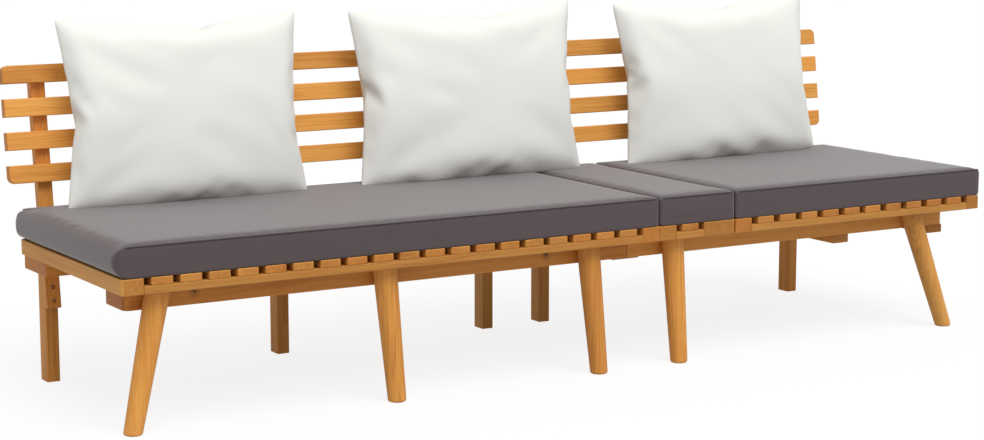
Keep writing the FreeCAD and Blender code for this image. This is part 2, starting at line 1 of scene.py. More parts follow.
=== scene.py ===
"""Looks of a garden daybed: oiled hardwood boards, a grey seat pad in three pieces and white pillows.

Metres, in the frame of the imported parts: +X to the head end, +Y to the back, +Z up from the floor.
"""
import logging
import math
import random
from dataclasses import dataclass, field
from enum import Enum
from typing import Callable, Sequence, Union

import bpy
from mathutils import Euler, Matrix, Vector
from mathutils.kdtree import KDTree


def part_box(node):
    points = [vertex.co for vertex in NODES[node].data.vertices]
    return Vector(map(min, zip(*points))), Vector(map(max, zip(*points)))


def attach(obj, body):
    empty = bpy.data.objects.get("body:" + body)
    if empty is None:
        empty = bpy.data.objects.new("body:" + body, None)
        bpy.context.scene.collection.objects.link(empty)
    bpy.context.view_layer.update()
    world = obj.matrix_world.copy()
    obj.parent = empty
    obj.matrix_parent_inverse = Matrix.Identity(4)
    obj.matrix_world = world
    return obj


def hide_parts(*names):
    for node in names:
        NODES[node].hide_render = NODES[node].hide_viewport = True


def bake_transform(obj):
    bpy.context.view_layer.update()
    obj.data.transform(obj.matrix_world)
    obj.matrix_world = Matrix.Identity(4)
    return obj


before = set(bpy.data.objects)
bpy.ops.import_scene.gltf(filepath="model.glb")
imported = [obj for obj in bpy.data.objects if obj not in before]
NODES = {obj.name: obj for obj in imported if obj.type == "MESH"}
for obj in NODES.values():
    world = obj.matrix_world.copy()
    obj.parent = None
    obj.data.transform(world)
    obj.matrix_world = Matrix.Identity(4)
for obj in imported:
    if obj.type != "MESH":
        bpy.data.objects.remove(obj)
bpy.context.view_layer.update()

LOG = logging.getLogger("daybed")
Input = Union[float, Sequence[float], bpy.types.NodeSocket]
Colour = tuple[float, float, float]

# Sizes that the pads, the pillows and the finishes share
LEAN = math.radians(7.5)
PILLOW_HALF = 0.062
PILLOW_TAPER = 0.12
TINY = 1e-5
SORT_FROM = (-3.137, -2.219, 1.373)


class Grain(Enum):
    """The way a board's fibres run: the axis along them and the two axes across."""

    ALONG_X = (0, 1, 2)
    ALONG_Y = (1, 0, 2)
    ALONG_Z = (2, 0, 1)


class Rider(Enum):
    """The moving bodies that carry new pieces."""

    FRAME = "frame"
    HEAD = "head_panel"
    PILLOW = "pillow_right"


class Slot(Enum):
    """The record's finishes that new pieces take."""

    SEAT = "seat_fabric"
    PILLOW = "pillow_fabric"


class Shader:
    """A material's node tree, with short calls for the nodes that the finishes need."""

    def __init__(self, name: str) -> None:
        """Starts a material with a bare surface.

        Args:
            name: the material's name.
        """
        self.material = bpy.data.materials.new(name)
        self.material.use_nodes = True
        self.tree = self.material.node_tree
        self.tree.nodes.clear()
        self.surface = self.node("BsdfPrincipled")
        output = self.node("OutputMaterial")
        self.tree.links.new(self.surface.outputs["BSDF"], output.inputs["Surface"])

    def feed(self, socket: bpy.types.NodeSocket, value: Input) -> None:
        """Links a socket to another, or sets its value.

        Args:
            socket: the input to feed.
            value: a number, a colour, or the output to link.
        """
        if isinstance(value, bpy.types.NodeSocket):
            self.tree.links.new(value, socket)
        elif hasattr(value, "__len__") and len(value) < len(socket.default_value):
            socket.default_value = (*value, 1.0)
        else:
            socket.default_value = value

    def node(self, kind: str, *inputs: Input, **settings: object) -> bpy.types.Node:
        """Adds a node.

        Args:
            kind: the node's type without its common prefix.
            inputs: values or links for its inputs, in their order.
            settings: attributes of the node.

        Returns:
            The new node.
        """
        made = self.tree.nodes.new("ShaderNode" + kind)
        for name, value in settings.items():
            setattr(made, name, value)
        for socket, value in zip(made.inputs, inputs):
            self.feed(socket, value)
        return made

    def math(self, operation: str, *inputs: Input) -> bpy.types.NodeSocket:
        """The result of a Math node."""
        return self.node("Math", *inputs, operation=operation).outputs[0]

    def combine(self, *parts: Input) -> bpy.types.NodeSocket:
        """A vector made of three numbers."""
        return self.node("CombineXYZ", *parts).outputs[0]

    def length(self, vector: Input) -> bpy.types.NodeSocket:
        """The length of a vector."""
        return self.node("VectorMath", vector, operation="LENGTH").outputs["Value"]

    def noise(self, vector: Input, scale: float, detail: float = 2.0) -> bpy.types.NodeSocket:
        """A cloudy value between 0 and 1.

        Args:
            vector: where it is read.
            scale: clouds in a metre.
            detail: how many finer layers it has.

        Returns:
            The value's socket.
        """
        made = self.node("TexNoise")
        for name, value in (("Vector", vector), ("Scale", scale), ("Detail", detail)):
            self.feed(made.inputs[name], value)
        return made.outputs["Fac"]

    def ramp(self, value: Input, stops: Sequence[tuple[float, Colour]]) -> bpy.types.NodeSocket:
        """A colour that follows a value.

        Args:
            value: where on the ramp to read.
            stops: places on the ramp and their colours.

        Returns:
            The colour's socket.
        """
        made = self.node("ValToRGB", value)
        points = made.color_ramp.elements
        while len(points) < len(stops):
            points.new(0.5)
        for point, (place, colour) in zip(points, stops):
            point.position = place
            point.color = (*colour, 1.0)
        return made.outputs["Color"]

    def mix(self, share: Input, first: Input, second: Input, blend: str = "MIX") -> bpy.types.NodeSocket:
        """Two colours mixed.

        Args:
            share: how much of the second colour shows.
            first: the first colour.
            second: the second colour.
            blend: how the second colour is laid on the first.

        Returns:
            The colour's socket.
        """
        made = self.node("Mix", data_type="RGBA", blend_type=blend)
        for socket, value in ((made.inputs[0], share), (made.inputs[6], first), (made.inputs[7], second)):
            self.feed(socket, value)
        return made.outputs[2]

    def bump(self, height: Input, distance: float, strength: float = 1.0) -> None:
        """Raises the surface by a height between 0 and 1.

        Args:
            height: the height's socket.
            distance: how far a height of 1 stands out.
            strength: how much of it shows.
        """
        made = self.node("Bump")
        for name, value in (("Height", height), ("Distance", distance), ("Strength", strength)):
            self.feed(made.inputs[name], value)
        self.feed(self.surface.inputs["Normal"], made.outputs["Normal"])

    def finish(self, **sockets: Input) -> bpy.types.Material:
        """Feeds the surface's sockets, named in small letters and underscores, and gives the material."""
        named = {socket.name.lower().replace(" ", "_"): socket for socket in self.surface.inputs}
        for name, value in sockets.items():
            self.feed(named[name], value)
        return self.material


def linear(red: int, green: int, blue: int, tone: float = 1.0) -> Colour:
    """A colour given as on a screen, from 0 to 255, in the renderer's own numbers.

    Args:
        red: its red part.
        green: its green part.
        blue: its blue part.
        tone: how much lighter or darker it becomes.

    Returns:
        The three parts, from 0 to 1.
    """
    parts = (part / 255 for part in (red, green, blue))
    straight = (part / 12.92 if part < 0.04045 else ((part + 0.055) / 1.055) ** 2.4 for part in parts)
    return tuple(min(part * tone, 1.0) for part in straight)


@dataclass(frozen=True)
class WoodFinish:
    """Oiled golden hardwood with growth rings, streaks, fibres and end grain."""

    grain: Grain
    tone: float = 1.0
    redness: float = 0.0
    ring_width: float = 0.0052
    late_wood: tuple[tuple[float, float], ...] = ((0.0, 0.25), (0.35, 0.1), (0.86, 1.0), (1.0, 0.25))
    boards: tuple[float, float] = (0.0, 0.0)
    knots: tuple[tuple[float, float, float], ...] = ()
    light: tuple[int, int, int] = (232, 174, 94)
    middle: tuple[int, int, int] = (212, 147, 68)
    dark: tuple[int, int, int] = (166, 101, 41)
    knot: tuple[int, int, int] = (72, 38, 20)

    def material(self, name: str, seed: int) -> bpy.types.Material:
        """The finish for one node.

        Args:
            name: the node that wears it, whose box places the boards' hearts.
            seed: a number of its own, for the run of its grain.

        Returns:
            The material.
        """
        shader = Shader("wood_" + name)
        low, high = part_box(name)
        middle = (low + high) / 2
        place = shader.node("TexCoord")
        split = shader.node("SeparateXYZ", place.outputs["Object"]).outputs
        along, across, up = (split[axis] for axis in self.grain.value)
        rise = shader.math("SUBTRACT", up, middle[self.grain.value[2]])
        start, pitch = self.boards
        if pitch:
            count = shader.math("DIVIDE", shader.math("SUBTRACT", across, start), pitch)
            number = shader.math("FLOOR", count)
            side = shader.math("MULTIPLY", shader.math("SUBTRACT", shader.math("FRACT", count), 0.5), pitch)
            drawn = shader.node("TexWhiteNoise", noise_dimensions="1D")
            shader.feed(drawn.inputs["W"], shader.math("ADD", number, seed * 31.7))
            draws = list(shader.node("SeparateColor", drawn.outputs["Color"]).outputs)
        else:
            side = shader.math("SUBTRACT", across, middle[self.grain.value[1]])
            chance = random.Random(seed)
            draws = [chance.random() for _ in range(3)]
        heart_side = shader.math("MULTIPLY_ADD", draws[0], 0.15, -0.075)
        heart_rise = shader.math("MULTIPLY_ADD", draws[1], -0.07, -0.012)
        shift = shader.math("MULTIPLY", draws[2], 9.0)

        def fibres(stretch: float) -> bpy.types.NodeSocket:
            """Coordinates drawn out along the fibres."""
            return shader.combine(side, rise, shader.math("MULTIPLY_ADD", along, stretch, shift))

        wave = shader.noise(fibres(0.16), 26.0, 1.0)
        radius = shader.length(shader.combine(shader.math("SUBTRACT", side, heart_side),
                                              shader.math("SUBTRACT", rise, heart_rise), 0.0))
        bent = shader.math("MULTIPLY_ADD", wave, 0.03, radius)
        ring = shader.math("FRACT", shader.math("DIVIDE", bent, self.ring_width))
        late = shader.ramp(ring, [(place_in_ring, (dark,) * 3) for place_in_ring, dark in self.late_wood])
        streak = shader.noise(fibres(0.035), 150.0, 3.0)
        fibre = shader.noise(fibres(0.02), 900.0, 2.0)
        cloud = shader.noise(fibres(0.25), 11.0, 2.0)
        tone = shader.math("MULTIPLY_ADD", streak, 0.62, -0.02)
        tone = shader.math("MULTIPLY_ADD", cloud, 0.55, shader.math("SUBTRACT", tone, 0.1))
        tone = shader.math("MULTIPLY_ADD", late, -0.15, tone)
        tone = shader.math("MULTIPLY_ADD", fibre, 0.18, shader.math("SUBTRACT", tone, 0.02))
        tones = [linear(*colour, tone=self.tone) for colour in (self.dark, self.middle, self.light)]
        colour = shader.ramp(tone, [(0.05, tones[0]), (0.45, tones[1]), (0.9, tones[2])])
        shade = shader.math("MULTIPLY_ADD", draws[1], 0.2, 0.9)
        warm = shader.math("MULTIPLY_ADD", draws[0], -0.16, 1.05 - self.redness)
        green = shader.math("MULTIPLY", shade, warm)
        blue = shader.math("MULTIPLY", shade, shader.math("MULTIPLY", warm, warm))
        colour = shader.mix(1.0, colour, shader.combine(shade, green, blue), "MULTIPLY")
        for spot in self.knots:
            offset = shader.node("VectorMath", place.outputs["Object"], spot, operation="SUBTRACT")
            ragged = shader.math("MULTIPLY_ADD", wave, 0.006, shader.length(offset.outputs[0]))
            eye = shader.ramp(ragged, [(0.004, (1.0,) * 3), (0.0075, (0.45,) * 3), (0.018, (0.0,) * 3)])
            colour = shader.mix(eye, colour, linear(*self.knot))
        facing = shader.node("SeparateXYZ", place.outputs["Normal"]).outputs[self.grain.value[0]]
        sawn = shader.math("GREATER_THAN", shader.math("ABSOLUTE", facing), 0.75)
        colour = shader.mix(shader.math("MULTIPLY", sawn, 0.8), colour, (0.66, 0.56, 0.46), "MULTIPLY")
        shader.bump(shader.math("MULTIPLY_ADD", late, -0.5, fibre), 0.0004, 0.5)
        return shader.finish(base_color=colour, specular_ior_level=0.3,
                             roughness=shader.math("MULTIPLY_ADD", fibre, 0.2, 0.45))

    def dress(self, name: str, seed: int) -> None:
        """Puts the finish on a node."""
        wear(name, self.material(name, seed))


@dataclass(frozen=True)
class ZincFinish:
    """Zinc-plated steel with a dull, faintly clouded skin."""

    name: str
    colour: tuple[int, int, int] = (176, 178, 180)

    def material(self) -> bpy.types.Material:
        """The finish for all pieces of one plating."""
        shader = Shader(self.name)
        place = shader.node("TexCoord").outputs["Object"]
        cloud = shader.noise(place, 160.0, 4.0)
        bright = linear(*self.colour)
        colour = shader.ramp(cloud, [(0.3, tuple(part * 0.75 for part in bright)), (0.7, bright)])
        shader.bump(shader.noise(place, 1400.0, 2.0), 0.00008, 0.5)
        return shader.finish(base_color=colour, metallic=1.0,
                             roughness=shader.math("MULTIPLY_ADD", cloud, 0.25, 0.28))


@dataclass(frozen=True)
class ClothFinish:
    """Plain woven cloth: fine slubs and soft clouds of shade."""

    name: str
    colour: tuple[int, int, int]
    cloud: float
    roughness: float
    specular: float
    sheen: float
    sheen_roughness: float
    relief: float
    clouds_across: float = 14.0

    def material(self) -> bpy.types.Material:
        """The finish for every piece sewn from this cloth."""
        shader = Shader(self.name)
        place = shader.node("TexCoord").outputs["Object"]
        slub = shader.noise(place, 700.0, 3.0)
        soft = shader.noise(place, self.clouds_across, 3.0)
        shade = shader.math("MULTIPLY_ADD", soft, self.cloud, 1.0 - self.cloud / 2)
        shade = shader.math("MULTIPLY_ADD", slub, 0.1, shader.math("SUBTRACT", shade, 0.05))
        colour = shader.mix(1.0, linear(*self.colour), shader.combine(shade, shade, shade), "MULTIPLY")
        shader.bump(slub, self.relief, 0.6)
        return shader.finish(base_color=colour, roughness=self.roughness, specular_ior_level=self.specular,
                             sheen_weight=self.sheen, sheen_roughness=self.sheen_roughness)


def wear(name: str, material: bpy.types.Material) -> None:
    """Gives a node or piece one material all over.

    Args:
        name: the object's name.
        material: what it wears.
    """
    mesh = bpy.data.objects[name].data
    mesh.materials.clear()
    mesh.materials.append(material)


def alone(piece: bpy.types.Object) -> bpy.types.Object:
    """Selects one object and nothing else."""
    if bpy.context.object and bpy.context.object.mode != "OBJECT":
        bpy.ops.object.mode_set(mode="OBJECT")
    bpy.ops.object.select_all(action="DESELECT")
    piece.select_set(True)
    bpy.context.view_layer.objects.active = piece
    return piece


def clear_selection() -> None:
    """Leaves nothing selected, before a primitive is added."""
    bpy.ops.object.select_all(action="DESELECT")


def apply_all(piece: bpy.types.Object) -> None:
    """Applies every modifier of a piece."""
    alone(piece)
    for modifier in list(piece.modifiers):
        bpy.ops.object.modifier_apply(modifier=modifier.name)


def double(piece: bpy.types.Object, thickness: float) -> None:
    """Makes a flat sheet into two layers with closed sides, numbered alike in every run.

    Extruding numbers the edges differently each time, and a cloth run then folds differently.

    Args:
        piece: a flat sheet that faces up.
        thickness: how far above it the second layer lies.
    """
    layers = piece.modifiers.new("Layers", "SOLIDIFY")
    layers.thickness = thickness
    layers.offset = 1.0
    apply_all(piece)


def pick_edges(piece: bpy.types.Object, wanted: Callable[[Vector, Vector], bool]) -> None:
    """Opens a piece in edit mode with the wanted edges selected.

    Args:
        piece: the piece to open.
        wanted: says from an edge's two ends whether it is one of them.
    """
    alone(piece)
    bpy.ops.object.mode_set(mode="EDIT")
    bpy.ops.mesh.select_mode(type="EDGE")
    bpy.ops.mesh.select_all(action="DESELECT")
    bpy.ops.object.mode_set(mode="OBJECT")
    points = piece.data.vertices
    for edge in piece.data.edges:
        edge.select = wanted(*(points[number].co for number in edge.vertices))
    bpy.ops.object.mode_set(mode="EDIT")


@dataclass
class ClothRun:
    """A run of the cloth simulation that blows a closed piece up."""

    pressure: float
    stiffness: float
    bending: float
    frames: int
    quality: int

    def blow_up(self, piece: bpy.types.Object) -> None:
        """Simulates the piece and applies what comes out.

        Args:
            piece: a closed mesh of fine, even faces.
        """
        alone(piece)
        cloth = piece.modifiers.new("Cloth", "CLOTH")
        setup = cloth.settings
        setup.quality = self.quality
        setup.mass = 0.25
        setup.tension_stiffness = setup.compression_stiffness = self.stiffness
        setup.shear_stiffness = self.stiffness / 3
        setup.bending_stiffness = self.bending
        setup.tension_damping = setup.compression_damping = 5.0
        setup.air_damping = 2.0
        setup.use_pressure = True
        setup.uniform_pressure_force = self.pressure
        setup.effector_weights.gravity = 0.0
        cloth.collision_settings.use_collision = False
        cloth.point_cache.frame_start = 1
        cloth.point_cache.frame_end = self.frames + 1
        for number in range(1, self.frames + 1):
            bpy.context.scene.frame_set(number)
        bpy.ops.object.modifier_apply(modifier=cloth.name)
        bpy.context.scene.frame_set(1)


def rounded_off(first: float, second: float, radius: float) -> tuple[float, float]:
    """Brings a point near a square edge onto a round one.

    Args:
        first: its distance inside one of the two planes that meet there.
        second: its distance inside the other.
        radius: how round the edge is.

    Returns:
        The two distances on the round edge.
    """
    away, over = radius - first, radius - second
    size = math.hypot(away, over)
    if away <= 0 or over <= 0 or size <= radius:
        return first, second
    return radius - away * radius / size, radius - over * radius / size


@dataclass(frozen=True)
class PadEnd:
    """How one end of a pad is shaped: its place, how round it is from the side, and its corners."""

    at: float
    side_round: float
    front_round: float
    back_round: float


@dataclass
class SeatPad:
    """One piece of the seat pad: a foam block in a cover with sewn front and rear gussets."""

    name: str
    node: str
    ends: tuple[PadEnd, PadEnd]
    cloth: bpy.types.Material
    hinge: float = 0.0
    cell: float = 0.009
    swell: float = 0.0045
    sink: float = 0.0015
    crease: float = 0.8
    bead: float = 0.0015
    pull: float = 0.0014
    fold_length: float = 0.15
    piece: bpy.types.Object = field(init=False)

    def build(self) -> None:
        """Models the pad: block, ends, swelling, seams."""
        self.low, self.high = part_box(self.node)
        self.low.x, self.high.x = (end.at for end in self.ends)
        self.block()
        seams = [self.seam(y) for y in (self.low.y, self.high.y)]
        self.shape_ends()
        self.swell_out()
        self.fine()
        self.sew([[self.piece.data.vertices[number].co.copy() for number in seam] for seam in seams])

    def block(self) -> None:
        """A block of even faces, creased where the gussets are sewn in."""
        clear_selection()
        size, middle = self.high - self.low, (self.high + self.low) / 2
        across, deep, tall = (round(length / self.cell) for length in size)
        bpy.ops.mesh.primitive_grid_add(x_subdivisions=across, y_subdivisions=deep, size=1.0)
        self.piece = bpy.context.object
        self.piece.name = self.name
        bpy.ops.object.mode_set(mode="EDIT")
        bpy.ops.mesh.select_all(action="SELECT")
        bpy.ops.transform.resize(value=(size.x, size.y, 1.0))
        bpy.ops.transform.translate(value=(middle.x, middle.y, self.low.z))
        bpy.ops.object.mode_set(mode="OBJECT")
        double(self.piece, size.z)
        pick_edges(self.piece, lambda start, end: abs(start.z - end.z) > size.z / 2)
        bpy.ops.mesh.subdivide(number_cuts=tall - 1)
        bpy.context.scene.cursor.location = SORT_FROM
        bpy.ops.mesh.select_all(action="SELECT")
        bpy.ops.mesh.sort_elements(type="CURSOR_DISTANCE", elements={"VERT", "EDGE", "FACE"})
        bpy.context.scene.cursor.location = (0.0, 0.0, 0.0)
        pick_edges(self.piece, lambda start, end: self.sewn(start) and self.sewn(end))
        bpy.ops.transform.edge_crease(value=self.crease)
        bpy.ops.object.mode_set(mode="OBJECT")

    def sewn(self, spot: Vector) -> bool:
        """Whether a point of the plain block lies where the front or rear face meets top or underside."""
        return all(min(abs(spot[axis] - self.low[axis]), abs(spot[axis] - self.high[axis])) < TINY
                   for axis in (1, 2))

    def seam(self, y: float) -> list[int]:
        """Numbers of the plain block's points along the upper edge of the front or rear face.

        Args:
            y: the face's plane.

        Returns:
            The points' numbers, left to right, between the rounded ends.
        """
        start, end = (limit.at + way * limit.front_round for limit, way in zip(self.ends, (0.7, -0.7)))
        row = [point for point in self.piece.data.vertices if abs(point.co.y - y) < TINY
               and abs(point.co.z - self.high.z) < TINY and start < point.co.x < end]
        return [point.index for point in sorted(row, key=lambda point: point.co.x)]

    def shape_ends(self) -> None:
        """Rounds the ends over from top to bottom and from front to back."""
        middle, half = (self.low + self.high) / 2, (self.high - self.low) / 2
        for point in self.piece.data.vertices:
            offset = point.co - middle
            end = self.ends[offset.x > 0]
            inset, depth, drop = (half[axis] - abs(offset[axis]) for axis in range(3))
            inset, drop = rounded_off(inset, drop, end.side_round)
            inset, depth = rounded_off(inset, depth, end.back_round if offset.y > 0 else end.front_round)
            for axis, inside in enumerate((inset, depth, drop)):
                offset[axis] = math.copysign(half[axis] - inside, offset[axis])
            point.co = middle + offset

    def swell_out(self) -> None:
        """Blows the skin up a little, and keeps the pad flat below and off its neighbours."""
        points = self.piece.data.vertices
        before = [point.co.copy() for point in points]
        normals = [point.normal.copy() for point in points]
        ClothRun(pressure=4.0, stiffness=15.0, bending=4.0, frames=12, quality=4).blow_up(self.piece)
        left, right = (min(point.x for point in before), max(point.x for point in before))
        for point, start, normal in zip(self.piece.data.vertices, before, normals):
            step = point.co - start
            most = self.swell if step.dot(normal) > 0 else self.sink
            if step.length > 0:
                step *= most * (1 - math.exp(-step.length / most)) / step.length
            moved = start + step
            moved.x = min(max(moved.x, left), right)
            moved.z = max(moved.z, self.low.z)
            point.co = moved

    def fine(self) -> None:
        """Smooths the skin, all but the creases."""
        smooth = self.piece.modifiers.new("Fine", "SUBSURF")
        smooth.levels = smooth.render_levels = 1
        apply_all(self.piece)
        bpy.ops.object.shade_smooth()

    def sew(self, paths: list[list[Vector]]) -> None:
        """Draws the skin in along the gussets' seams and lays a fine sewn edge there.

        Args:
            paths: the seams' points.
        """
        tree = KDTree(sum(len(path) for path in paths))
        for number, spot in enumerate(spot for path in paths for spot in path):
            tree.insert(spot, number)
        tree.balance()
        points = self.piece.data.vertices
        for point, normal in zip(points, [point.normal.copy() for point in points]):
            distance = tree.find(point.co)[2] / self.cell
            if distance < 2:
                point.co -= normal * self.pull * math.exp(-2 * distance ** 2)
        beads = [self.bead_tube(path) for path in paths]
        alone(self.piece)
        for bead in beads:
            bead.select_set(True)
        bpy.ops.object.join()
        wear(self.name, self.cloth)

    def bead_tube(self, path: list[Vector]) -> bpy.types.Object:
        """A fine round edge along a path.

        Args:
            path: its points.

        Returns:
            The mesh.
        """
        curve = bpy.data.curves.new(self.name + "_bead", "CURVE")
        curve.dimensions = "3D"
        curve.bevel_depth = self.bead
        curve.bevel_resolution = 1
        curve.use_fill_caps = True
        line = curve.splines.new("POLY")
        line.points.add(len(path) - 1)
        for point, spot in zip(line.points, path):
            point.co = (*spot, 1.0)
        bead = bpy.data.objects.new(self.name + "_bead", curve)
        bpy.context.scene.collection.objects.link(bead)
        alone(bead)
        bpy.ops.object.convert(target="MESH")
        bpy.ops.object.shade_smooth()
        return bpy.context.object

    def place(self) -> None:
        """Ties the pad to the frame; the pad on the hinge only has its placement baked in and is tied to
        nothing.
        """
        if self.hinge:
            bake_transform(self.piece)
        else:
            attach(self.piece, Rider.FRAME.value)
        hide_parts(self.node)


@dataclass
class Pillow:
    """A loose pillow: two layers of cloth sewn at their edges, filled, and leaned on the backrest."""

    name: str
    node: str
    rider: Rider
    cloth: bpy.types.Material
    tilt: float = 0.0
    seed: int = 1
    spare: float = 0.02
    fuller_sides: float = -0.015
    fuller_top: float = -0.005
    faces_across: int = 68
    seam: float = 0.003
    puff: float = 0.02
    settle_height: float = 0.2
    columns: int = 24
    sag: float = 0.06
    squash: float = 0.018
    ease: int = 7
    piece: bpy.types.Object = field(init=False)

    def build(self) -> None:
        """Models the pillow: two layers, filling, standing."""
        low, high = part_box(self.node)
        self.width = high.x - low.x
        self.height = (high.z - low.z) / math.cos(LEAN)
        back = PILLOW_HALF * math.cos(LEAN) - PILLOW_TAPER * math.sin(LEAN)
        self.foot = Vector((low.x, low.y + back, low.z))
        self.layers()
        self.fill()
        self.settle()
        self.stand()

    def layers(self) -> None:
        """Two flat layers of cloth, joined all round and parted a little."""
        clear_selection()
        width, height = self.width + self.spare, self.height + self.spare
        rows = round(self.faces_across * height / width)
        bpy.ops.mesh.primitive_grid_add(x_subdivisions=self.faces_across, y_subdivisions=rows, size=1.0)
        self.piece = bpy.context.object
        self.piece.name = self.name
        bpy.ops.object.mode_set(mode="EDIT")
        bpy.ops.mesh.select_all(action="SELECT")
        bpy.ops.transform.resize(value=(width, height, 1.0))
        bpy.ops.object.mode_set(mode="OBJECT")
        double(self.piece, self.seam)
        chance = random.Random(self.seed)
        waves = [(chance.uniform(6, 16), chance.uniform(6, 16), chance.uniform(0, 6)) for _ in range(4)]
        for point in self.piece.data.vertices:
            x, y = 2 * point.co.x / width, 2 * point.co.y / height
            crown = max(1 - x ** 4, 0.0) * max(1 - y ** 4, 0.0)
            ripple = sum(math.sin(a * x + b * y + c) for a, b, c in waves)
            side = 1 if point.co.z > self.seam / 2 else -1
            point.co.z += side * self.puff * crown * (1 + 0.05 * ripple)
            point.co.x *= 1 + self.fuller_sides * (1 - y * y)
            point.co.y *= 1 + self.fuller_top * (1 - x * x)

    def fill(self) -> None:
        """Fills the pillow, eases its folds and fits its corners to its size."""
        ClothRun(pressure=3.0, stiffness=40.0, bending=6.0, frames=15, quality=6).blow_up(self.piece)
        eased = self.piece.modifiers.new("Ease", "SMOOTH")
        eased.iterations = self.ease
        apply_all(self.piece)
        points = self.piece.data.vertices
        limits = [(min(point.co[axis] for point in points), max(point.co[axis] for point in points))
                  for axis in range(3)]
        spans = [most - least for least, most in limits]
        centre = [(most + least) / 2 for least, most in limits]
        wanted = (self.width, self.height, 2 * PILLOW_HALF)
        LOG.info("%s filled to %s", self.name, [round(span, 3) for span in spans])
        for point in points:
            point.co = [(point.co[axis] - centre[axis]) * wanted[axis] / spans[axis] for axis in range(3)]

    def settle(self) -> None:
        """Lets the lower edge down onto the seat pad, and the filling in front with it."""
        points = self.piece.data.vertices

        def column(x: float) -> float:
            """Where a point lies across the pillow, counted in columns."""
            return min(max((x / self.width + 0.5) * self.columns, 0.0), self.columns - 0.001)

        lowest = [self.height] * (self.columns + 2)
        for point in points:
            number = round(column(point.co.x))
            lowest[number] = min(lowest[number], point.co.y + self.height / 2)
        lowest[-1] = lowest[-2]
        for point in points:
            number, share = divmod(column(point.co.x), 1)
            gap = lowest[int(number)] * (1 - share) + lowest[int(number) + 1] * share
            up = point.co.y + self.height / 2
            gap += self.squash * (1 - (2 * point.co.x / self.width) ** 4)
            point.co.y -= gap * max(1 - up / self.settle_height, 0.0) ** 2
            if point.co.z > 0:
                point.co.z *= 1 + self.sag * (1 - 2 * up / self.height)

    def stand(self) -> None:
        """Leans the pillow on the backrest, its lower edge on the seat pad."""
        turn = math.radians(self.tilt)
        for point in self.piece.data.vertices:
            x, up, front = point.co
            up += self.height / 2
            x, up = x * math.cos(turn) - up * math.sin(turn), x * math.sin(turn) + up * math.cos(turn)
            spot = Vector((self.width / 2 + x, up * math.sin(LEAN) - front * math.cos(LEAN),
                           max(up * math.cos(LEAN) + front * math.sin(LEAN), 0.0)))
            point.co = self.foot + spot
        alone(self.piece)
        smooth = self.piece.modifiers.new("Fine", "SUBSURF")
        smooth.levels = smooth.render_levels = 1
        apply_all(self.piece)
        bpy.ops.object.shade_smooth()
        bpy.ops.object.mode_set(mode="EDIT")
        bpy.ops.mesh.select_all(action="SELECT")
        bpy.ops.mesh.normals_make_consistent(inside=False)
        bpy.ops.object.mode_set(mode="OBJECT")
        wear(self.name, self.cloth)

    def place(self) -> None:
        """Ties the pillow to what carries it."""
        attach(self.piece, self.rider.value)
        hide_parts(self.node)


@dataclass
class Woodwork:
    """All the boards, legs and rails, each in a run of grain of its own."""

    cross_boards: tuple[str, ...] = ("left_panel_rail_left", "left_panel_rail_right", "mid_panel_rail",
                                     "mid_hinge_board", "mid_panel_slat", "head_rail_hinge", "head_rail_end",
                                     "cross_batten_inner", "cross_batten_end")
    long_boards: tuple[str, ...] = ("left_panel_front_strip", "left_panel_rear_strip", "mid_panel_strips",
                                    "head_front_strip", "head_rear_strip")
    beams: tuple[str, ...] = ("front_beam_left", "front_beam_right", "rear_beam_left", "rear_beam_right")
    props: tuple[str, ...] = ("prop_arms", "prop_brackets", "prop_foot_bar", "notched_rails")
    slat_groups: dict[str, int] = field(default_factory=lambda: {"left_panel_slats": 19, "head_slats": 10})
    slat_width: float = 0.043
    beam_knots: tuple[tuple[float, float, float], ...] = ((-0.870, -0.2424, 0.2586),
                                                          (-0.082, -0.2424, 0.259))

    def dress(self) -> None:
        """Gives each wooden node its finish."""
        posts = sorted(name for name in NODES if name.startswith("backrest_post"))
        legs = sorted(name for name in NODES if "_leg_" in name)
        back = sorted(name for name in NODES if "_back_slat_" in name)
        # painted shade, in part: the cross boards' tone of 0.88 darkens the rails' left-facing faces, which
        # get little light
        families = [(WoodFinish(Grain.ALONG_Y, tone=0.88), self.cross_boards),
                    # painted shade: the long boards' tone of 0.7 darkens the front strips as if in the seat
                    # pad's shadow
                    (WoodFinish(Grain.ALONG_X, tone=0.7), self.long_boards),
                    (WoodFinish(Grain.ALONG_X, tone=1.0, redness=0.05, knots=self.beam_knots), self.beams),
                    (WoodFinish(Grain.ALONG_Z, tone=0.95, redness=0.04), posts),
                    (WoodFinish(Grain.ALONG_Z, tone=1.0), legs),
                    # painted light: the backrest slats' tone of 1.08 lightens them as if they got more light
                    # than the lower wood
                    (WoodFinish(Grain.ALONG_X, tone=1.08), back),
                    (WoodFinish(Grain.ALONG_X, tone=0.95), self.props)]
        seed = 0
        for finish, names in families:
            for name in names:
                seed += 1
                finish.dress(name, seed)
                LOG.info("%s in wood", name)
        for name, count in self.slat_groups.items():
            seed += 1
            low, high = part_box(name)
            pitch = (high.x - low.x - self.slat_width) / (count - 1)
            start = low.x + self.slat_width / 2 - pitch / 2
            WoodFinish(Grain.ALONG_Y, boards=(start, pitch)).dress(name, seed)
            LOG.info("%s in wood, %d boards", name, count)


@dataclass
class Hardware:
    """Hinges, bolts, studs and plates."""

    names: tuple[str, ...] = ("post_bolts", "leg_studs", "beam_joint_plates", "hinge_leaves_fixed",
                              "hinge_leaves_moving", "hinge_pins")
    bronzed: tuple[str, ...] = ("post_bolts", "leg_studs", "beam_joint_plates")

    def dress(self) -> None:
        """Gives the steel pieces their finishes: zinc plating, and a bronzed plating on the bolts, studs and
        plates.
        """
        zinc = ZincFinish("zinc_plated_steel").material()
        bronzed = ZincFinish("bronzed_steel", (150, 110, 68)).material()
        for name in self.names:
            wear(name, bronzed if name in self.bronzed else zinc)
            LOG.info("%s in steel", name)


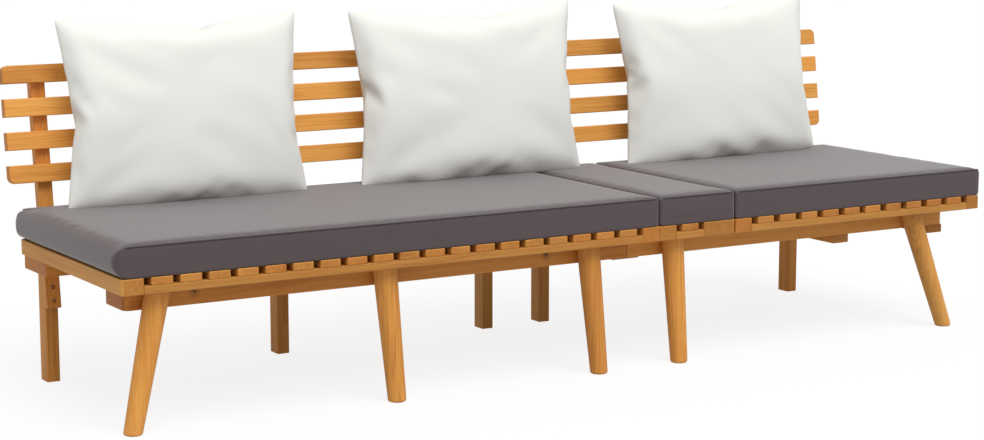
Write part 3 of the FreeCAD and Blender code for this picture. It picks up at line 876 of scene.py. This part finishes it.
@dataclass
class Studio:
    """A pale floor, soft light from above and a camera where the photograph was taken."""

    frame_width: int = 984
    focal_pixels: float = 2205.1
    sensor: float = 36.0
    azimuth: float = -31.2435
    elevation: float = 8.863
    eye: tuple[float, float, float] = (-2.5138, -4.0356, 1.0330)
    floor_size: float = 90.0
    sky: float = 0.5
    key_strength: float = 2.35
    key_turn: tuple[float, float, float] = (33.0, 0.0, 0.0)
    key_spread: float = 45.0
    floor_light: float = 0.85
    floor_bounce: float = 0.55

    def build(self) -> None:
        """Sets the stage."""
        scene = bpy.context.scene
        scene.view_settings.view_transform = "Standard"
        self.camera()
        self.floor()
        self.light()

    def camera(self) -> None:
        """The camera, at the photograph's place and angle."""
        lens = bpy.data.cameras.new("camera")
        lens.sensor_width = self.sensor
        lens.lens = self.sensor * self.focal_pixels / self.frame_width
        lens.clip_end = 2 * self.floor_size
        camera = bpy.data.objects.new("camera", lens)
        bpy.context.scene.collection.objects.link(camera)
        camera.location = self.eye
        camera.rotation_euler = Euler((math.radians(90 - self.elevation), 0.0, math.radians(self.azimuth)))
        bpy.context.scene.camera = camera

    @staticmethod
    def seen(tree: bpy.types.NodeTree) -> bpy.types.NodeSocket:
        """A value of 1 for rays that show the background: straight, mirrored or through glass."""
        path = tree.nodes.new("ShaderNodeLightPath")
        total = path.outputs["Is Camera Ray"]
        for name in ("Is Glossy Ray", "Is Transmission Ray"):
            most = tree.nodes.new("ShaderNodeMath")
            most.operation = "MAXIMUM"
            tree.links.new(total, most.inputs[0])
            tree.links.new(path.outputs[name], most.inputs[1])
            total = most.outputs[0]
        return total

    def floor(self) -> None:
        """A wide white floor that keeps a soft shadow."""
        clear_selection()
        bpy.ops.mesh.primitive_plane_add(size=self.floor_size)
        floor = bpy.context.object
        floor.name = "floor"
        material = bpy.data.materials.new("floor")
        material.use_nodes = True
        tree = material.node_tree
        tree.nodes.clear()
        matt, white = (tree.nodes.new("ShaderNodeBsdfDiffuse") for _ in range(2))
        matt.inputs["Color"].default_value = (self.floor_bounce,) * 3 + (1.0,)
        white.inputs["Color"].default_value = (0.95, 0.95, 0.95, 1.0)
        glow = tree.nodes.new("ShaderNodeEmission")
        shown, blend = (tree.nodes.new("ShaderNodeMixShader") for _ in range(2))
        shown.inputs[0].default_value = self.floor_light
        output = tree.nodes.new("ShaderNodeOutputMaterial")
        links = ((white.outputs[0], shown.inputs[1]), (glow.outputs[0], shown.inputs[2]),
                 (self.seen(tree), blend.inputs[0]), (matt.outputs[0], blend.inputs[1]),
                 (shown.outputs[0], blend.inputs[2]), (blend.outputs[0], output.inputs["Surface"]))
        for source, target in links:
            tree.links.new(source, target)
        wear(floor.name, material)

    def light(self) -> None:
        """White sky light and a wide soft lamp from above, tilted towards the front."""
        world = bpy.data.worlds.new("studio")
        bpy.context.scene.world = world
        world.use_nodes = True
        tree = world.node_tree
        strength = tree.nodes.new("ShaderNodeMapRange")
        tree.links.new(self.seen(tree), strength.inputs["Value"])
        strength.inputs["To Min"].default_value = self.sky
        tree.links.new(strength.outputs["Result"], tree.nodes["Background"].inputs["Strength"])
        tree.nodes["Background"].inputs["Color"].default_value = (1.0, 1.0, 1.0, 1.0)
        lamp = bpy.data.lights.new("key", "SUN")
        lamp.energy = self.key_strength
        lamp.angle = math.radians(self.key_spread)
        key = bpy.data.objects.new("key", lamp)
        bpy.context.scene.collection.objects.link(key)
        key.rotation_euler = Euler([math.radians(turn) for turn in self.key_turn])


@dataclass
class SeatPads:
    """The seat pad: three pieces that meet at the panel joint and at the hinge."""

    cloth: ClothFinish = ClothFinish("grey_polyester", (78, 67, 69), cloud=0.08, roughness=0.58,
                                     specular=0.35, sheen=1.0, sheen_roughness=0.3, relief=0.0001)
    meeting: float = 0.0003
    overhang: tuple[float, float] = (0.014, 0.007)

    def build(self) -> list[SeatPad]:
        """Models and places the three pieces.

        Returns:
            The pieces, left to right.
        """
        cloth = self.cloth.material()
        (left, split_left), (split_right, hinge_left), (hinge_right, right) = (
            tuple(corner.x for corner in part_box("cushion_" + name)) for name in ("left", "mid", "head"))
        split, hinge = (split_left + split_right) / 2, (hinge_left + hinge_right) / 2
        half = self.meeting / 2
        outer = (PadEnd(left - self.overhang[0], 0.026, 0.022, 0.006),
                 PadEnd(right + self.overhang[1], 0.01, 0.006, 0.006))
        joints = [PadEnd(place, 0.002, 0.003, 0.003)
                  for place in (split - half, split + half, hinge - half, hinge + half)]
        pads = [SeatPad("seat_pad_left", "cushion_left", (outer[0], joints[0]), cloth),
                SeatPad("seat_pad_mid", "cushion_mid", (joints[1], joints[2]), cloth),
                SeatPad("seat_pad_head", "cushion_head", (joints[3], outer[1]), cloth, hinge=hinge)]
        for pad in pads:
            pad.build()
            pad.place()
            LOG.info("%s has %d faces", pad.name, len(pad.piece.data.polygons))
        return pads


@dataclass
class Pillows:
    """Three loose white pillows, each a little different."""

    cloth: ClothFinish = ClothFinish("white_cotton", (233, 233, 227), cloud=0.03, roughness=0.85,
                                     specular=0.3, sheen=0.1, sheen_roughness=0.45, relief=0.0001)

    def build(self) -> list[Pillow]:
        """Models and places the pillows.

        Returns:
            The pillows, left to right.
        """
        cloth = self.cloth.material()
        pillows = [Pillow("loose_pillow_left", "pillow_left", Rider.FRAME, cloth, seed=3),
                   Pillow("loose_pillow_mid", "pillow_mid", Rider.FRAME, cloth, tilt=0.6, seed=8),
                   Pillow("loose_pillow_right", "pillow_right", Rider.PILLOW, cloth, tilt=2.0, seed=5)]
        for pillow in pillows:
            pillow.build()
            pillow.place()
            LOG.info("%s has %d faces", pillow.name, len(pillow.piece.data.polygons))
        return pillows


def main() -> None:
    """Builds and dresses every sub-assembly in turn."""
    logging.basicConfig(level=logging.INFO, format="%(message)s")
    for part in (Woodwork(), Hardware()):
        part.dress()
    for part in (SeatPads(), Pillows(), Studio()):
        part.build()


if __name__ == "__main__":
    main()
